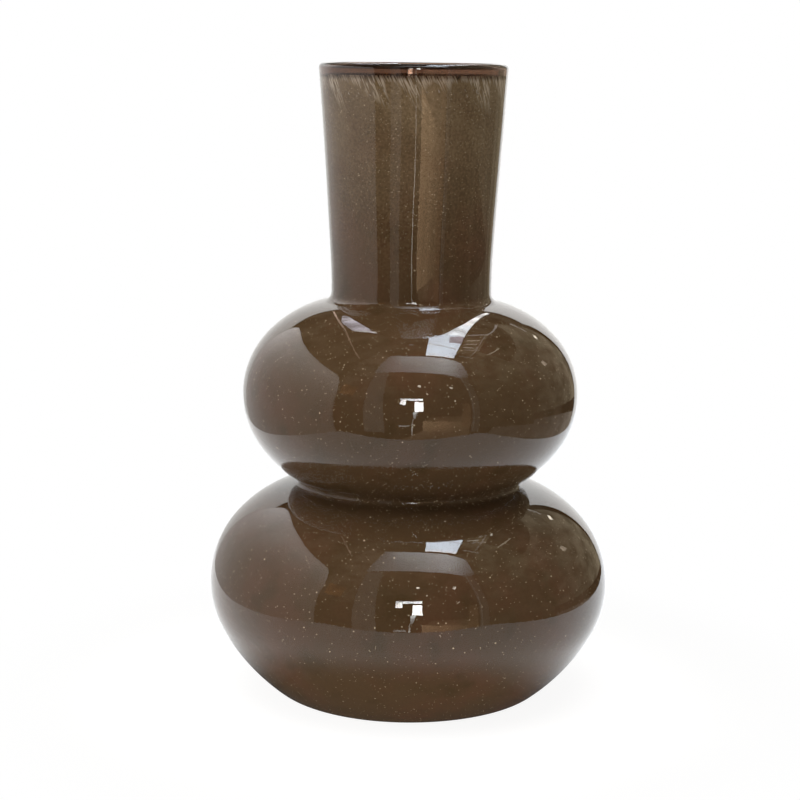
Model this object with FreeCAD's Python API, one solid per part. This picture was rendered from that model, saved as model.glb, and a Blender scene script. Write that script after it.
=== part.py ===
import FreeCAD, Part
import math
import os
from collections import namedtuple

# A blown gourd vase of cased glass: a flared neck, a small lobe, a waist and a large lobe on a flat foot.
# Three layers are fused face to face: a clear casing outside, a thin layer of powdered colour under it,
# and inside them the tinted glass that the vase was blown from.
# Lengths are in millimetres and angles in degrees. The origin is the middle of the foot, and +Z is up.

# foot: the flat ring that the vase stands on, the ground hollow inside it, and the heel that rises from it
foot_radius = 56.2
foot_ring_width = 10.0
foot_hollow_depth = 1.6
heel_round = 15.0
heel_slope = 38.2

# large lobe, at its widest circle, and the share of its underside that the flatter arc above the heel has
lower_lobe_radius = 95.7
lower_lobe_height = 53.5
underside_share = 0.62

# waist: its crease, how far that is above the large lobe's widest circle, the hollow round at the bottom
# of it, and the slopes of the lobes that meet there
waist_radius = 53.8
waist_rise = 49.5
waist_round = 1.6
slope_below_waist = 14.0
slope_above_waist = 30.0

# small lobe, at its widest circle, and how far that is above the waist
upper_lobe_radius = 79.7
upper_lobe_rise = 41.5

# neck: its narrowest circle, how far that is above the small lobe's widest one, the hollow round at its foot,
# the slope of the shoulder that runs into it, and the share of the neck in which it bends out before it runs
# on nearly straight
neck_radius = 37.8
neck_foot_rise = 48.7
neck_foot_round = 4.6
shoulder_slope = 13.5
neck_bend_share = 0.2

# mouth: the height of the lip, the radius of the wall just under it, and how far the wall leans out
total_height = 300.0
mouth_radius = 44.0
mouth_lean = 4.2

# glass: the layers, the thicker glass under the floor, and the band below the lip that the colour leaves bare
casing_thickness = 1.5
colour_thickness = 0.75
inner_thickness = 2.25
casing_foot_thickness = 3.2
inner_floor_thickness = 5.0
bare_band_height = 5.3

upright = 90.0
half_turn = 180.0
full_turn = 360.0
straight_share = 1e-6

Station = namedtuple("Station", "place angle")
Station.__doc__ = "A point of an outline and the direction in which the outline runs there."


def direction(angle):
    """Unit vector in the section, this far above the outward radius."""
    return FreeCAD.Vector(math.cos(math.radians(angle)), 0, math.sin(math.radians(angle)))


def out_of_glass(angle):
    """Unit vector out of the glass where an outline runs this way, with the glass on its left."""
    return direction(angle - upright)


def point(radius, height):
    """The point of the section at this radius and height."""
    return FreeCAD.Vector(radius, 0, height)


def on_round(centre, radius, angle):
    """The station of a round where it runs this way. A hollow round has a negative radius."""
    return Station(centre + out_of_glass(angle) * radius, angle)


def between(start, end, first_share=0.5):
    """The station where an arc from start and an arc to end meet smoothly.

    first_share is the first arc's share of the line that touches both arcs where they meet.
    """
    chord = end.place - start.place
    mean = direction(start.angle) * first_share + direction(end.angle) * (1 - first_share)
    along = chord.dot(mean)
    reach = chord.dot(chord) / (along + math.sqrt(along ** 2 + (1 - mean.dot(mean)) * chord.dot(chord)))
    first_corner = start.place + direction(start.angle) * (reach * first_share)
    last_corner = end.place - direction(end.angle) * (reach * (1 - first_share))
    link = last_corner - first_corner
    return Station(first_corner + link * first_share, math.degrees(math.atan2(link.z, link.x)))


def edges_through(outline):
    """The straights and arcs from each station of an outline to the next."""
    edges = []
    for start, end in zip(outline, outline[1:]):
        chord = end.place - start.place
        bow = chord.Length / 2 * math.tan(math.radians(end.angle - start.angle) / 4)
        if abs(bow) < chord.Length * straight_share:
            edges.append(Part.LineSegment(start.place, end.place).toShape())
        else:
            chord_angle = math.degrees(math.atan2(chord.z, chord.x))
            middle = (start.place + end.place) * 0.5 + out_of_glass(chord_angle) * bow
            edges.append(Part.Arc(start.place, middle, end.place).toShape())
    return edges


def straight(start, end):
    """The straight edge between two points, as a list."""
    return [Part.LineSegment(start, end).toShape()]


def turned(edges):
    """The solid of a closed section turned once about the axis."""
    section = Part.Face(Part.Wire(Part.sortEdges(edges)[0]))
    return section.revolve(FreeCAD.Vector(0, 0, 0), FreeCAD.Vector(0, 0, 1), full_turn)


def skin(depth, foot_height):
    """The outline this deep in the glass, from the middle of the foot, at its own height, to the bare band.

    Each lobe is two pairs of arcs that meet at its widest circle, and each crease is a hollow round.
    """
    waist_height = lower_lobe_height + waist_rise
    upper_lobe_height = waist_height + upper_lobe_rise
    neck_foot_height = upper_lobe_height + neck_foot_rise
    heel_centre = point(foot_radius, foot_height + heel_round - depth)
    heel_start = on_round(heel_centre, heel_round - depth, 0)
    heel_end = on_round(heel_centre, heel_round - depth, heel_slope)
    lower_belly = Station(point(lower_lobe_radius - depth, lower_lobe_height), upright)
    waist_centre = point(waist_radius + waist_round, waist_height)
    waist_start = on_round(waist_centre, -waist_round - depth, half_turn - slope_below_waist)
    waist_end = on_round(waist_centre, -waist_round - depth, slope_above_waist)
    upper_belly = Station(point(upper_lobe_radius - depth, upper_lobe_height), upright)
    neck_centre = point(neck_radius + neck_foot_round, neck_foot_height)
    shoulder_end = on_round(neck_centre, -neck_foot_round - depth, half_turn - shoulder_slope)
    neck_start = on_round(neck_centre, -neck_foot_round - depth, upright)
    band_start = on_round(point(mouth_radius, total_height - bare_band_height), -depth, upright - mouth_lean)
    return [
        Station(point(0, foot_height), 0), heel_start, heel_end,
        between(heel_end, lower_belly, underside_share), lower_belly,
        between(lower_belly, waist_start), waist_start, waist_end,
        between(waist_end, upper_belly), upper_belly,
        between(upper_belly, shoulder_end), shoulder_end, neck_start,
        between(neck_start, band_start, neck_bend_share), band_start,
    ]


def outer_skin():
    """The outside of the vase."""
    return skin(0, 0)


def casing_skin():
    """Where the casing meets the colour."""
    return skin(casing_thickness, casing_foot_thickness)


def colour_skin():
    """Where the colour meets the inner glass."""
    return skin(casing_thickness + colour_thickness, casing_foot_thickness + colour_thickness)


def cavity_skin():
    """The inside of the vase."""
    wall = casing_thickness + colour_thickness + inner_thickness
    return skin(wall, casing_foot_thickness + colour_thickness + inner_floor_thickness)


def lip_seam():
    """The top of the seam between casing and inner glass, where the two rounds of the lip meet."""
    seam_foot = colour_skin()[-1].place
    lean = direction(upright - mouth_lean)
    inner_round_height = total_height - inner_thickness
    return seam_foot + lean * ((inner_round_height - seam_foot.z) / lean.z + inner_thickness)


def foot_hollow():
    """The shallow hollow that was ground where the vase was broken off its rod."""
    hollow_radius = foot_radius - foot_ring_width
    fall = math.degrees(math.atan2(foot_hollow_depth, hollow_radius))
    return [Station(point(0, foot_hollow_depth), 0), Station(point(hollow_radius, 0), -2 * fall)]


def clear_casing():
    """The outer layer: foot, lobes and neck, and the outer half of the bare band and of the lip."""
    hollow = foot_hollow()
    outer = [Station(hollow[-1].place, 0)] + outer_skin()[1:]
    inner = casing_skin()
    lip_round = casing_thickness + colour_thickness
    lip_centre = lip_seam() - direction(upright - mouth_lean) * lip_round
    lip = [on_round(lip_centre, lip_round, angle - mouth_lean) for angle in (upright, half_turn)]
    seam_foot = colour_skin()[-1].place
    edges = edges_through(hollow) + edges_through(outer + lip) + edges_through(inner)
    edges += straight(lip[-1].place, seam_foot) + straight(seam_foot, inner[-1].place)
    return turned(edges + straight(hollow[0].place, inner[0].place))


def colour_layer():
    """The powdered colour under the casing. It ends in a square edge at the bare band."""
    outer = casing_skin()
    inner = colour_skin()
    edges = edges_through(outer) + straight(outer[-1].place, inner[-1].place) + edges_through(inner)
    return turned(edges + straight(outer[0].place, inner[0].place))


def inner_glass():
    """The tinted layer inside, with the floor and the inner half of the bare band and of the lip."""
    outer = colour_skin()
    inner = cavity_skin()
    seam_top = lip_seam()
    lip_centre = seam_top - direction(upright - mouth_lean) * inner_thickness
    lip = [on_round(lip_centre, -inner_thickness, angle - mouth_lean) for angle in (upright, 0)]
    edges = edges_through(outer) + straight(outer[-1].place, seam_top) + edges_through(inner + lip)
    return turned(edges + straight(outer[0].place, inner[0].place))


def main():
    os.makedirs("parts", exist_ok=True)
    clear_casing().exportStep("parts/clear_casing.step")
    colour_layer().exportStep("parts/colour_layer.step")
    inner_glass().exportStep("parts/inner_glass.step")


main()
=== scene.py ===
import math
from collections import namedtuple

import bpy
import numpy as np
from bpy.props import FloatProperty, FloatVectorProperty, IntProperty, PointerProperty
from mathutils import Matrix, Vector


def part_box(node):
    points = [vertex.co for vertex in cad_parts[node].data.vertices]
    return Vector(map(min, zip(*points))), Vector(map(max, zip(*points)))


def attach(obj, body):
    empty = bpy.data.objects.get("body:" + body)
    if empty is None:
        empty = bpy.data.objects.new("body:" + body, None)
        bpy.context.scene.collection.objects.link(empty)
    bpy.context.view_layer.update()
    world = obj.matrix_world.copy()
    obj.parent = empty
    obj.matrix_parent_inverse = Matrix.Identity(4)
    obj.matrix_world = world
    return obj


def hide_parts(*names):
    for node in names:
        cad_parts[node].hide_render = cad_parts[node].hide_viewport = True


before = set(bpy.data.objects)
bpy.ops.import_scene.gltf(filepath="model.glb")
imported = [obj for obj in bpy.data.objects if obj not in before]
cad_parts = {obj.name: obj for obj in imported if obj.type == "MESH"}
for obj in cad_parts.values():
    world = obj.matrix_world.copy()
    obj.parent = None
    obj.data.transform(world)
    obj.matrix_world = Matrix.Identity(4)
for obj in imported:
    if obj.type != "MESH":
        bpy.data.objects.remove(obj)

# A blown gourd vase of cased glass, standing on a white table in a plain studio.
# Lengths are in metres. The vase stands on z = 0 with its axis on Z, and -Y is its front.

bl_info = {
    "name": "Gourd Vase",
    "version": (1, 0, 0),
    "blender": (4, 5, 0),
    "location": "View3D > Sidebar > Gourd Vase",
    "description": "Builds a gourd vase of cased brown glass and a studio around it",
    "category": "Add Mesh",
}

CASING_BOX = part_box("clear_casing")


def length(name, description, default):
    """A property that holds a length."""
    return FloatProperty(name=name, description=description, default=default, unit="LENGTH", precision=4)


def turn(name, description, degrees):
    """A property that holds an angle, with its default in degrees."""
    return FloatProperty(name=name, description=description, default=math.radians(degrees), subtype="ANGLE")


def share(name, description, default):
    """A property that holds a share or a factor."""
    return FloatProperty(name=name, description=description, default=default, subtype="FACTOR")


def level(name, description, default):
    """A property that holds a strength of light or another plain number."""
    return FloatProperty(name=name, description=description, default=default, subtype="NONE")


def number(name, description, default):
    """A property that holds a count."""
    return IntProperty(name=name, description=description, default=default, subtype="UNSIGNED")


def tint(name, description, default):
    """A property that holds a colour."""
    return FloatVectorProperty(name=name, description=description, default=default, subtype="COLOR", size=3)


class VaseShape(bpy.types.PropertyGroup):
    """Outline of the vase and thickness of its layers."""

    total_height: length("Height", "Height of the lip above the table", CASING_BOX[1].z)
    foot_radius: length("Foot radius", "Outer radius of the flat ring it stands on", 0.0562)
    foot_ring_width: length("Foot ring width", "Width of the flat ring it stands on", 0.0100)
    foot_hollow_depth: length("Foot hollow", "Depth of the ground hollow under the foot", 0.0016)
    heel_round: length("Heel round", "Radius of the round between foot and large lobe", 0.0150)
    heel_slope: turn("Heel slope", "Slope of the large lobe where the heel ends", 38.2)
    lower_lobe_radius: length("Large lobe radius", "Widest radius of the large lobe", CASING_BOX[1].x)
    lower_lobe_height: length("Large lobe height", "Height of its widest circle", 0.0535)
    underside_share: share("Underside share", "Share of the flatter arc above the heel", 0.62)
    waist_radius: length("Waist radius", "Radius at the bottom of the crease", 0.0538)
    waist_rise: length("Waist rise", "Height of the crease above the large lobe's widest circle", 0.0495)
    waist_round: length("Waist round", "Radius of the hollow round in the crease", 0.0016)
    slope_below_waist: turn("Slope below waist", "Slope of the large lobe at the crease", 14.0)
    slope_above_waist: turn("Slope above waist", "Slope of the small lobe at the crease", 30.0)
    upper_lobe_radius: length("Small lobe radius", "Widest radius of the small lobe", 0.0797)
    upper_lobe_rise: length("Small lobe rise", "Height of its widest circle above the crease", 0.0415)
    neck_radius: length("Neck radius", "Narrowest radius of the neck", 0.0378)
    neck_foot_rise: length("Neck foot rise", "Height of the neck's foot above that circle", 0.0487)
    neck_foot_round: length("Neck foot round", "Radius of the hollow round at the neck's foot", 0.0046)
    shoulder_slope: turn("Shoulder slope", "Slope of the shoulder at the neck", 13.5)
    neck_bend_share: share("Neck bend share", "Share of the neck in which it bends out", 0.2)
    mouth_radius: length("Mouth radius", "Radius of the wall under the bare band", 0.0440)
    mouth_lean: turn("Mouth lean", "How far the wall leans out at the mouth", 4.2)
    bare_band_height: length("Bare band", "Height of the band that the colour leaves bare", 0.0053)
    casing_thickness: length("Casing", "Thickness of the clear casing", 0.0015)
    colour_thickness: length("Colour", "Thickness of the powdered colour", 0.00075)
    inner_thickness: length("Inner glass", "Thickness of the tinted glass inside", 0.00225)
    casing_foot_thickness: length("Casing under foot", "Thickness of the casing under the foot", 0.0032)
    inner_floor_thickness: length("Floor", "Thickness of the tinted glass in the floor", 0.0050)
    seam_sink: length("Seam sink", "How far a fused wall is sunk into the colour", 0.0003)
    unevenness: length("Unevenness", "How far the blown wall strays from a true round", 0.00016)
    row_length: length("Row length", "Length of the faces along the outline", 0.0020)
    sides: number("Sides", "Faces around the vase", 256)


class VaseGlass(bpy.types.PropertyGroup):
    """Colours of the glass and of what is in it."""

    casing: tint("Casing", "Tint of the clear casing", (0.97, 0.95, 0.93))
    powder: tint("Powder", "Taupe of the powdered colour", (0.083, 0.050, 0.025))
    warm_powder: tint("Warm powder", "Redder clouds in the colour", (0.096, 0.050, 0.026))
    dark_powder: tint("Dark powder", "Greener, darker clouds in the colour", (0.062, 0.039, 0.017))
    neck_powder: tint("Neck powder", "Golden colour towards the mouth", (0.172, 0.119, 0.067))
    streak: tint("Streaks", "Pale streaks at the edge of the colour", (0.56, 0.48, 0.38))
    gold: tint("Gold", "Colour of the gold flakes", (0.95, 0.77, 0.50))
    bubble: tint("Bubbles", "Light caught by the seed bubbles", (0.80, 0.74, 0.66))
    inner: tint("Inner glass", "Reddish brown tint of the inner glass", (0.56, 0.39, 0.29))
    lip: tint("Lip", "Tint of the casing at the lip, where it is melted in", (0.150, 0.100, 0.078))
    ior: level("Index", "Index of refraction of the glass", 1.5)
    flakes: number("Flakes", "Gold flakes in the casing", 16000)
    bubbles: number("Bubbles", "Seed bubbles in the casing", 520)


class VaseStudio(bpy.types.PropertyGroup):
    """Camera, table and light."""

    lens: level("Lens", "Focal length in millimetres, on a sensor 36 wide", 90.0)
    camera_place: FloatVectorProperty(
        name="Camera", description="Place of the camera", default=(-0.0048, -0.9422, 0.3086),
        subtype="TRANSLATION", unit="LENGTH")
    camera_pitch: turn("Pitch", "How far the camera looks down", 10.09)
    camera_roll: turn("Roll", "How far the camera is turned about its own axis", 0.636)
    floor_width: length("Floor width", "Width of the pale floor", 12.0)
    shadow_reach: length("Shadow reach", "How far from the vase its shadow shows on the floor", 0.24)
    white: level("White", "Brightness of the white background, 1 is white", 1.0)
    sky: level("Ambient", "Even light from all round", 0.39)
    key: level("Overhead", "Power of the large lamp overhead, in watts", 15.0)
    fill: level("Side", "Power of the large lamp at the left, in watts", 3.0)
    bounce: level("Bounce", "Light that the floor adds under the vase", 0.62)
    room: level("Room", "Brightness of the dim room that the glass mirrors", 1.0)


Station = namedtuple("Station", "place angle")
Station.__doc__ = "A point (radius, height) of an outline and the direction in which the outline runs there."
RIGHT_ANGLE = math.pi / 2
STRAIGHT = 1e-6

# Points on an arc, at least, from the seen ones to the hidden ones, and how many times longer the faces are
# where little or nothing of them is seen
FINE_ARC, SMOOTH_ARC, PLAIN_ARC, HIDDEN_ARC = 14, 8, 6, 3
UNDER_STEP, HIDDEN_STEP = 3, 5

# Two faces that meet at more than this angle are shaded apart
CREASE = math.radians(32)

# The long waves of the blown wall: size in shares of the unevenness, waves round the axis, phase, and turn
# along the axis in radians per metre
WAVES = ((0.9, 2, 0.7, 9), (0.6, 3, 2.1, -34), (0.35, 5, 4.0, 61), (0.5, 1, 1.3, 47))


def heading(angle):
    """Unit vector (radius, height) that points this far above the outward radius."""
    return np.array([math.cos(angle), math.sin(angle)])


def on_round(centre, radius, angle):
    """The station of a round where its outline runs this way: its centre plus radius times the outward unit
    vector. A hollow round has a negative radius."""
    return Station(np.array(centre, float) + heading(angle - RIGHT_ANGLE) * radius, angle)


def between(start, end, first_share=0.5):
    """The station where an arc from start and an arc to end meet smoothly.

    The line that touches both arcs there is cut in the ratio first_share, and its length follows from the
    chord and the mean of both headings.
    """
    chord = end.place - start.place
    mean = heading(start.angle) * first_share + heading(end.angle) * (1 - first_share)
    along = chord @ mean
    reach = chord @ chord / (along + math.sqrt(along ** 2 + (1 - mean @ mean) * (chord @ chord)))
    first_corner = start.place + heading(start.angle) * (reach * first_share)
    link = end.place - heading(end.angle) * (reach * (1 - first_share)) - first_corner
    return Station(first_corner + link * first_share, math.atan2(link[1], link[0]))


def neck_foot_height(shape):
    """Height of the hollow round at the foot of the neck."""
    return shape.lower_lobe_height + shape.waist_rise + shape.upper_lobe_rise + shape.neck_foot_rise


def band_height(shape):
    """Height of the foot of the bare band."""
    return shape.total_height - shape.bare_band_height


def skin(shape, depth, foot_height):
    """Stations of the wall this deep in the glass, from the axis at foot_height up to the bare band."""
    waist_height = shape.lower_lobe_height + shape.waist_rise
    upper_lobe_height = waist_height + shape.upper_lobe_rise
    heel = (shape.foot_radius, foot_height + shape.heel_round - depth)
    heel_start = on_round(heel, shape.heel_round - depth, 0)
    heel_end = on_round(heel, shape.heel_round - depth, shape.heel_slope)
    lower_belly = Station(np.array([shape.lower_lobe_radius - depth, shape.lower_lobe_height]), RIGHT_ANGLE)
    waist = (shape.waist_radius + shape.waist_round, waist_height)
    waist_start = on_round(waist, -shape.waist_round - depth, math.pi - shape.slope_below_waist)
    waist_end = on_round(waist, -shape.waist_round - depth, shape.slope_above_waist)
    upper_belly = Station(np.array([shape.upper_lobe_radius - depth, upper_lobe_height]), RIGHT_ANGLE)
    neck_foot = (shape.neck_radius + shape.neck_foot_round, upper_lobe_height + shape.neck_foot_rise)
    shoulder_end = on_round(neck_foot, -shape.neck_foot_round - depth, math.pi - shape.shoulder_slope)
    neck_start = on_round(neck_foot, -shape.neck_foot_round - depth, RIGHT_ANGLE)
    band_foot = (shape.mouth_radius, band_height(shape))
    band_start = on_round(band_foot, -depth, RIGHT_ANGLE - shape.mouth_lean)
    return [
        Station(np.array([0.0, foot_height]), 0), heel_start, heel_end,
        between(heel_end, lower_belly, shape.underside_share), lower_belly,
        between(lower_belly, waist_start), waist_start, waist_end,
        between(waist_end, upper_belly), upper_belly,
        between(upper_belly, shoulder_end), shoulder_end, neck_start,
        between(neck_start, band_start, shape.neck_bend_share), band_start,
    ]


def lip_seam(shape):
    """The top of the seam between casing and inner glass, where the two rounds of the lip meet."""
    foot = colour_skin(shape)[-1].place
    lean = heading(RIGHT_ANGLE - shape.mouth_lean)
    round_height = shape.total_height - shape.inner_thickness
    return foot + lean * ((round_height - foot[1]) / lean[1] + shape.inner_thickness)


def casing_skin(shape, sink=0.0):
    """Where the casing meets the colour, or a wall sunk that much deeper."""
    return skin(shape, shape.casing_thickness + sink, shape.casing_foot_thickness + sink)


def colour_skin(shape, sink=0.0):
    """Where the colour meets the inner glass, or a wall that lies that much less deep."""
    thickness = shape.colour_thickness - sink
    return skin(shape, shape.casing_thickness + thickness, shape.casing_foot_thickness + thickness)


def cavity_skin(shape):
    """The inside of the vase."""
    wall = shape.casing_thickness + shape.colour_thickness + shape.inner_thickness
    floor = shape.casing_foot_thickness + shape.colour_thickness + shape.inner_floor_thickness
    return skin(shape, wall, floor)


def lip(shape, radius, first, last):
    """Two stations of one round of the lip, which ends at the top of the seam."""
    centre = lip_seam(shape) - heading(RIGHT_ANGLE - shape.mouth_lean) * abs(radius)
    return [on_round(centre, radius, angle - shape.mouth_lean) for angle in (first, last)]


def followed(stations, row_length, least=PLAIN_ARC):
    """Points along an outline: on each arc the angle runs evenly from one station's to the next's, and a
    point is the arc's centre plus its radius times the outward unit vector."""
    runs = []
    for start, end in zip(stations, stations[1:]):
        chord = end.place - start.place
        size = math.hypot(*chord)
        turning = end.angle - start.angle
        count = max(least, math.ceil(size / row_length))
        steps = np.arange(count)[:, None] / count
        if abs(turning) < STRAIGHT:
            runs.append(start.place + chord * steps)
            continue
        radius = size / (2 * math.sin(turning / 2))
        centre = start.place - heading(start.angle - RIGHT_ANGLE) * radius
        angles = start.angle - RIGHT_ANGLE + turning * steps
        runs.append(centre + radius * np.hstack([np.cos(angles), np.sin(angles)]))
    return np.vstack(runs + [stations[-1].place[None]])


def uneven(radius, angle, height, shape):
    """How far a blown wall strays outwards: four long waves round the axis and along it, which die out
    towards the axis."""
    waves = sum(size * np.sin(rounds * angle + phase + rise * height) for size, rounds, phase, rise in WAVES)
    near_axis = np.clip(radius / shape.neck_radius, 0, 1) ** 2
    return shape.unevenness * waves * near_axis


def seam_below(shape, top):
    """Points down the seam of the bare band, from its top to the edge of the colour."""
    return followed([Station(end, 0) for end in (top, colour_skin(shape)[-1].place)], shape.row_length)


def sunk(shape, stations):
    """Points down a hidden wall, from its upper end."""
    return followed(stations, HIDDEN_STEP * shape.row_length, HIDDEN_ARC)[::-1]


def turned(name, section, shape, hidden_from=None):
    """A closed mesh: each point (radius, height) of the section, at each angle round Z, with the unevenness
    of the wall added to its radius. The first and last points lie on the axis and are the two poles.
    Rows from hidden_from on belong to the second material."""
    sides = shape.sides
    rings = section[1:-1]
    angles = np.arange(sides) * (2 * math.pi / sides)
    radii = rings[:, :1] + uneven(rings[:, :1], angles[None], rings[:, 1:], shape)
    x = radii * np.cos(angles)
    y = radii * np.sin(angles)
    z = np.broadcast_to(rings[:, 1:], x.shape)
    places = np.stack([x, y, z], axis=-1).reshape(-1, 3)
    poles = np.array([[0, 0, section[0, 1]], [0, 0, section[-1, 1]]])
    places = np.vstack([places, poles])
    count = len(rings)
    first_pole, last_pole = count * sides, count * sides + 1
    rows = np.arange(count - 1)[:, None]
    column = np.arange(sides)[None]
    following = (column + 1) % sides
    here, beside = rows * sides + column, rows * sides + following
    quads = np.stack([here, beside, beside + sides, here + sides], axis=-1).reshape(-1, 4)
    foot = np.stack([np.full(sides, first_pole), following[0], column[0]], axis=-1)
    end = (count - 1) * sides
    head = np.stack([end + column[0], end + following[0], np.full(sides, last_pole)], axis=-1)
    corners = np.concatenate([quads.ravel(), foot.ravel(), head.ravel()])
    sizes = np.concatenate([np.full(len(quads), 4), np.full(2 * sides, 3)])
    mesh = filled_mesh(name, places, corners, sizes)
    if hidden_from is not None:
        slots = np.zeros(len(sizes), np.int32)
        slots[(hidden_from - 1) * sides:len(quads)] = 1
        slots[len(quads) + sides:] = 1
        mesh.polygons.foreach_set("material_index", slots)
    return mesh


def filled_mesh(name, places, corners, sizes):
    """A smooth mesh from places, the corners of its faces in one row, and each face's number of corners."""
    mesh = bpy.data.meshes.new(name)
    mesh.vertices.add(len(places))
    mesh.vertices.foreach_set("co", np.asarray(places, np.float32).ravel())
    mesh.loops.add(len(corners))
    mesh.loops.foreach_set("vertex_index", np.asarray(corners, np.int32))
    mesh.polygons.add(len(sizes))
    starts = np.concatenate([[0], np.cumsum(sizes)[:-1]])
    mesh.polygons.foreach_set("loop_start", starts.astype(np.int32))
    mesh.polygons.foreach_set("loop_total", np.asarray(sizes, np.int32))
    mesh.update(calc_edges=True)
    mesh.validate()
    mesh.shade_smooth()
    mesh.set_sharp_from_angle(angle=CREASE)
    return mesh


def placed(name, data):
    """The object of a mesh, lamp or camera, in the scene."""
    made = bpy.data.objects.new(name, data)
    bpy.context.scene.collection.objects.link(made)
    return made


def shown(name, mesh, materials):
    """The object of a mesh, in the scene, with its materials."""
    made = placed(name, mesh)
    for material in materials:
        mesh.materials.append(material)
    return made


def dressed(name, mesh, materials, slot, *nodes):
    """A piece of the vase that stands for these nodes and takes its finish from a slot."""
    made = shown(name, mesh, materials)
    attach(made, "root")
    if nodes:
        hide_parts(*nodes)
    return made


# Nodes and materials


def add(tree, kind, inputs=None, **settings):
    """Adds a node with its settings, and gives its inputs values or links them to sockets."""
    made = tree.nodes.new(kind)
    for name, value in settings.items():
        setattr(made, name, value)
    for key, value in (inputs or {}).items():
        if isinstance(value, bpy.types.NodeSocket):
            tree.links.new(value, made.inputs[key])
        else:
            made.inputs[key].default_value = value
    return made


def maths(tree, operation, *values, clamp=False):
    """The result of a Math node on values or sockets."""
    inputs = dict(enumerate(values))
    return add(tree, "ShaderNodeMath", inputs, operation=operation, use_clamp=clamp).outputs[0]


def vectors(tree, operation, *values):
    """The vector that a Vector Math node makes of values or sockets."""
    return add(tree, "ShaderNodeVectorMath", dict(enumerate(values)), operation=operation).outputs[0]


def ranged(tree, value, low, high, to_low=0.0, to_high=1.0, smooth=True):
    """Value carried from one range to another, smoothly, and held at its ends."""
    kind = "SMOOTHSTEP" if smooth else "LINEAR"
    inputs = {0: value, 1: low, 2: high, 3: to_low, 4: to_high}
    return add(tree, "ShaderNodeMapRange", inputs, interpolation_type=kind).outputs[0]


def blended(tree, factor, first, second):
    """Colour between first and second."""
    return add(tree, "ShaderNodeMix", {0: factor, 6: first, 7: second}, data_type="RGBA").outputs[2]


def rgba(colour):
    """A colour with full alpha, for a colour socket."""
    return (*colour, 1.0)


def new_material(name):
    """A new material and its empty node tree."""
    material = bpy.data.materials.new(name)
    material.use_nodes = True
    material.node_tree.nodes.clear()
    return material, material.node_tree


def finished(material, shader):
    """The material, with this shader on its surface."""
    add(material.node_tree, "ShaderNodeOutputMaterial", {"Surface": shader.outputs[0]})
    return material


def principled(tree, inputs):
    """A Principled BSDF node with these inputs."""
    return add(tree, "ShaderNodeBsdfPrincipled", inputs)


def object_place(tree):
    """Object coordinates."""
    return add(tree, "ShaderNodeTexCoord").outputs["Object"]


def height_of(tree, place):
    """The height of a place."""
    return add(tree, "ShaderNodeSeparateXYZ", {0: place}).outputs[2]


def noise(tree, place, scale, detail=2.0, roughness=0.5):
    """The value of a Noise Texture, whose scale is in clouds per metre."""
    inputs = {"Vector": place, "Scale": scale, "Detail": detail, "Roughness": roughness}
    return add(tree, "ShaderNodeTexNoise", inputs).outputs[0]


def clouds_group():
    """The node group of the clouds that several materials share: noise, carried smoothly from the values
    between Low and High to those between To Low and To High."""
    tree = bpy.data.node_groups.new("soft_clouds", "ShaderNodeTree")
    tree.interface.new_socket("Place", in_out="INPUT", socket_type="NodeSocketVector")
    for name in ("Scale", "Detail", "Roughness", "Low", "High", "To Low", "To High"):
        tree.interface.new_socket(name, in_out="INPUT", socket_type="NodeSocketFloat")
    tree.interface.new_socket("Value", in_out="OUTPUT", socket_type="NodeSocketFloat")
    given = tree.nodes.new("NodeGroupInput").outputs
    clouds = noise(tree, given["Place"], given["Scale"], given["Detail"], given["Roughness"])
    value = ranged(tree, clouds, given["Low"], given["High"], given["To Low"], given["To High"])
    add(tree, "NodeGroupOutput", {"Value": value})
    return tree


def soft_clouds(tree, place, scale, limits, levels=(0.0, 1.0), detail=2.0, roughness=0.5):
    """The value of the shared clouds at a place, with a material's own scale, limits and levels."""
    group = bpy.data.node_groups.get("soft_clouds") or clouds_group()
    inputs = {"Place": place, "Scale": scale, "Detail": detail, "Roughness": roughness, "Low": limits[0],
              "High": limits[1], "To Low": levels[0], "To High": levels[1]}
    return add(tree, "ShaderNodeGroup", inputs, node_tree=group).outputs["Value"]


# How far the pull winds round the neck, in radians per metre
WIND = 11.0

# Glass: how far under the bare band the lip's tint starts and is full, and the light that a layer lets by
LIP_TINT_START, LIP_TINT_FULL = 0.0030, 0.0004
LIGHT_THROUGH = 0.96

# Powdered colour: noises in clouds per metre, and the values between which each takes hold
CLOUDS, CLOUD_RANGE = 26.0, (0.42, 0.70)
PATCHES, PATCH_RANGE, MOST_PATCH = 70.0, (0.52, 0.78), 0.8
GRAIN, GRAIN_RANGE, GRAIN_LEVELS = 900.0, (0.35, 0.7), (-0.45, 0.55)
DRIFTS, DRIFT_RANGE, DRIFT_LEVELS = 55.0, (0.35, 0.65), (0.7, 1.15)

# Heights above the neck's foot between which the colour turns golden and its grain grows stronger
GOLDEN_HEIGHTS = (0.006, 0.106)
GRAIN_HEIGHTS, GRAIN_CONTRAST = (-0.01, 0.04), (0.10, 0.42)
MOST_METAL = 0.35

# Streaks under the bare band: noises per metre round and along the pull, the reach of a tuft, and the ragged
# edge
STRANDS, STRAND_RANGE = (1500.0, 1500.0, 100.0), (0.46, 0.58)
TUFTS, TUFT_RANGE, TUFT_REACH = (90.0, 90.0, 14.0), (0.34, 0.62), (0.003, 0.018)
MOST_STREAK = 0.9
EDGE_RANGE, EDGE_DEPTH, COVER_RANGE = (0.40, 0.60), (0.0048, 0.0014), (0.38, 0.66)

# Flakes and bubbles: clouds per metre of their tone, and the values between which it changes
FLAKE_TONE, BUBBLE_TONE, TONE_RANGE = 180.0, 240.0, (0.35, 0.65)
DULL_GOLD = 0.7
BUBBLE_COVER = (0.25, 0.7)


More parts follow.
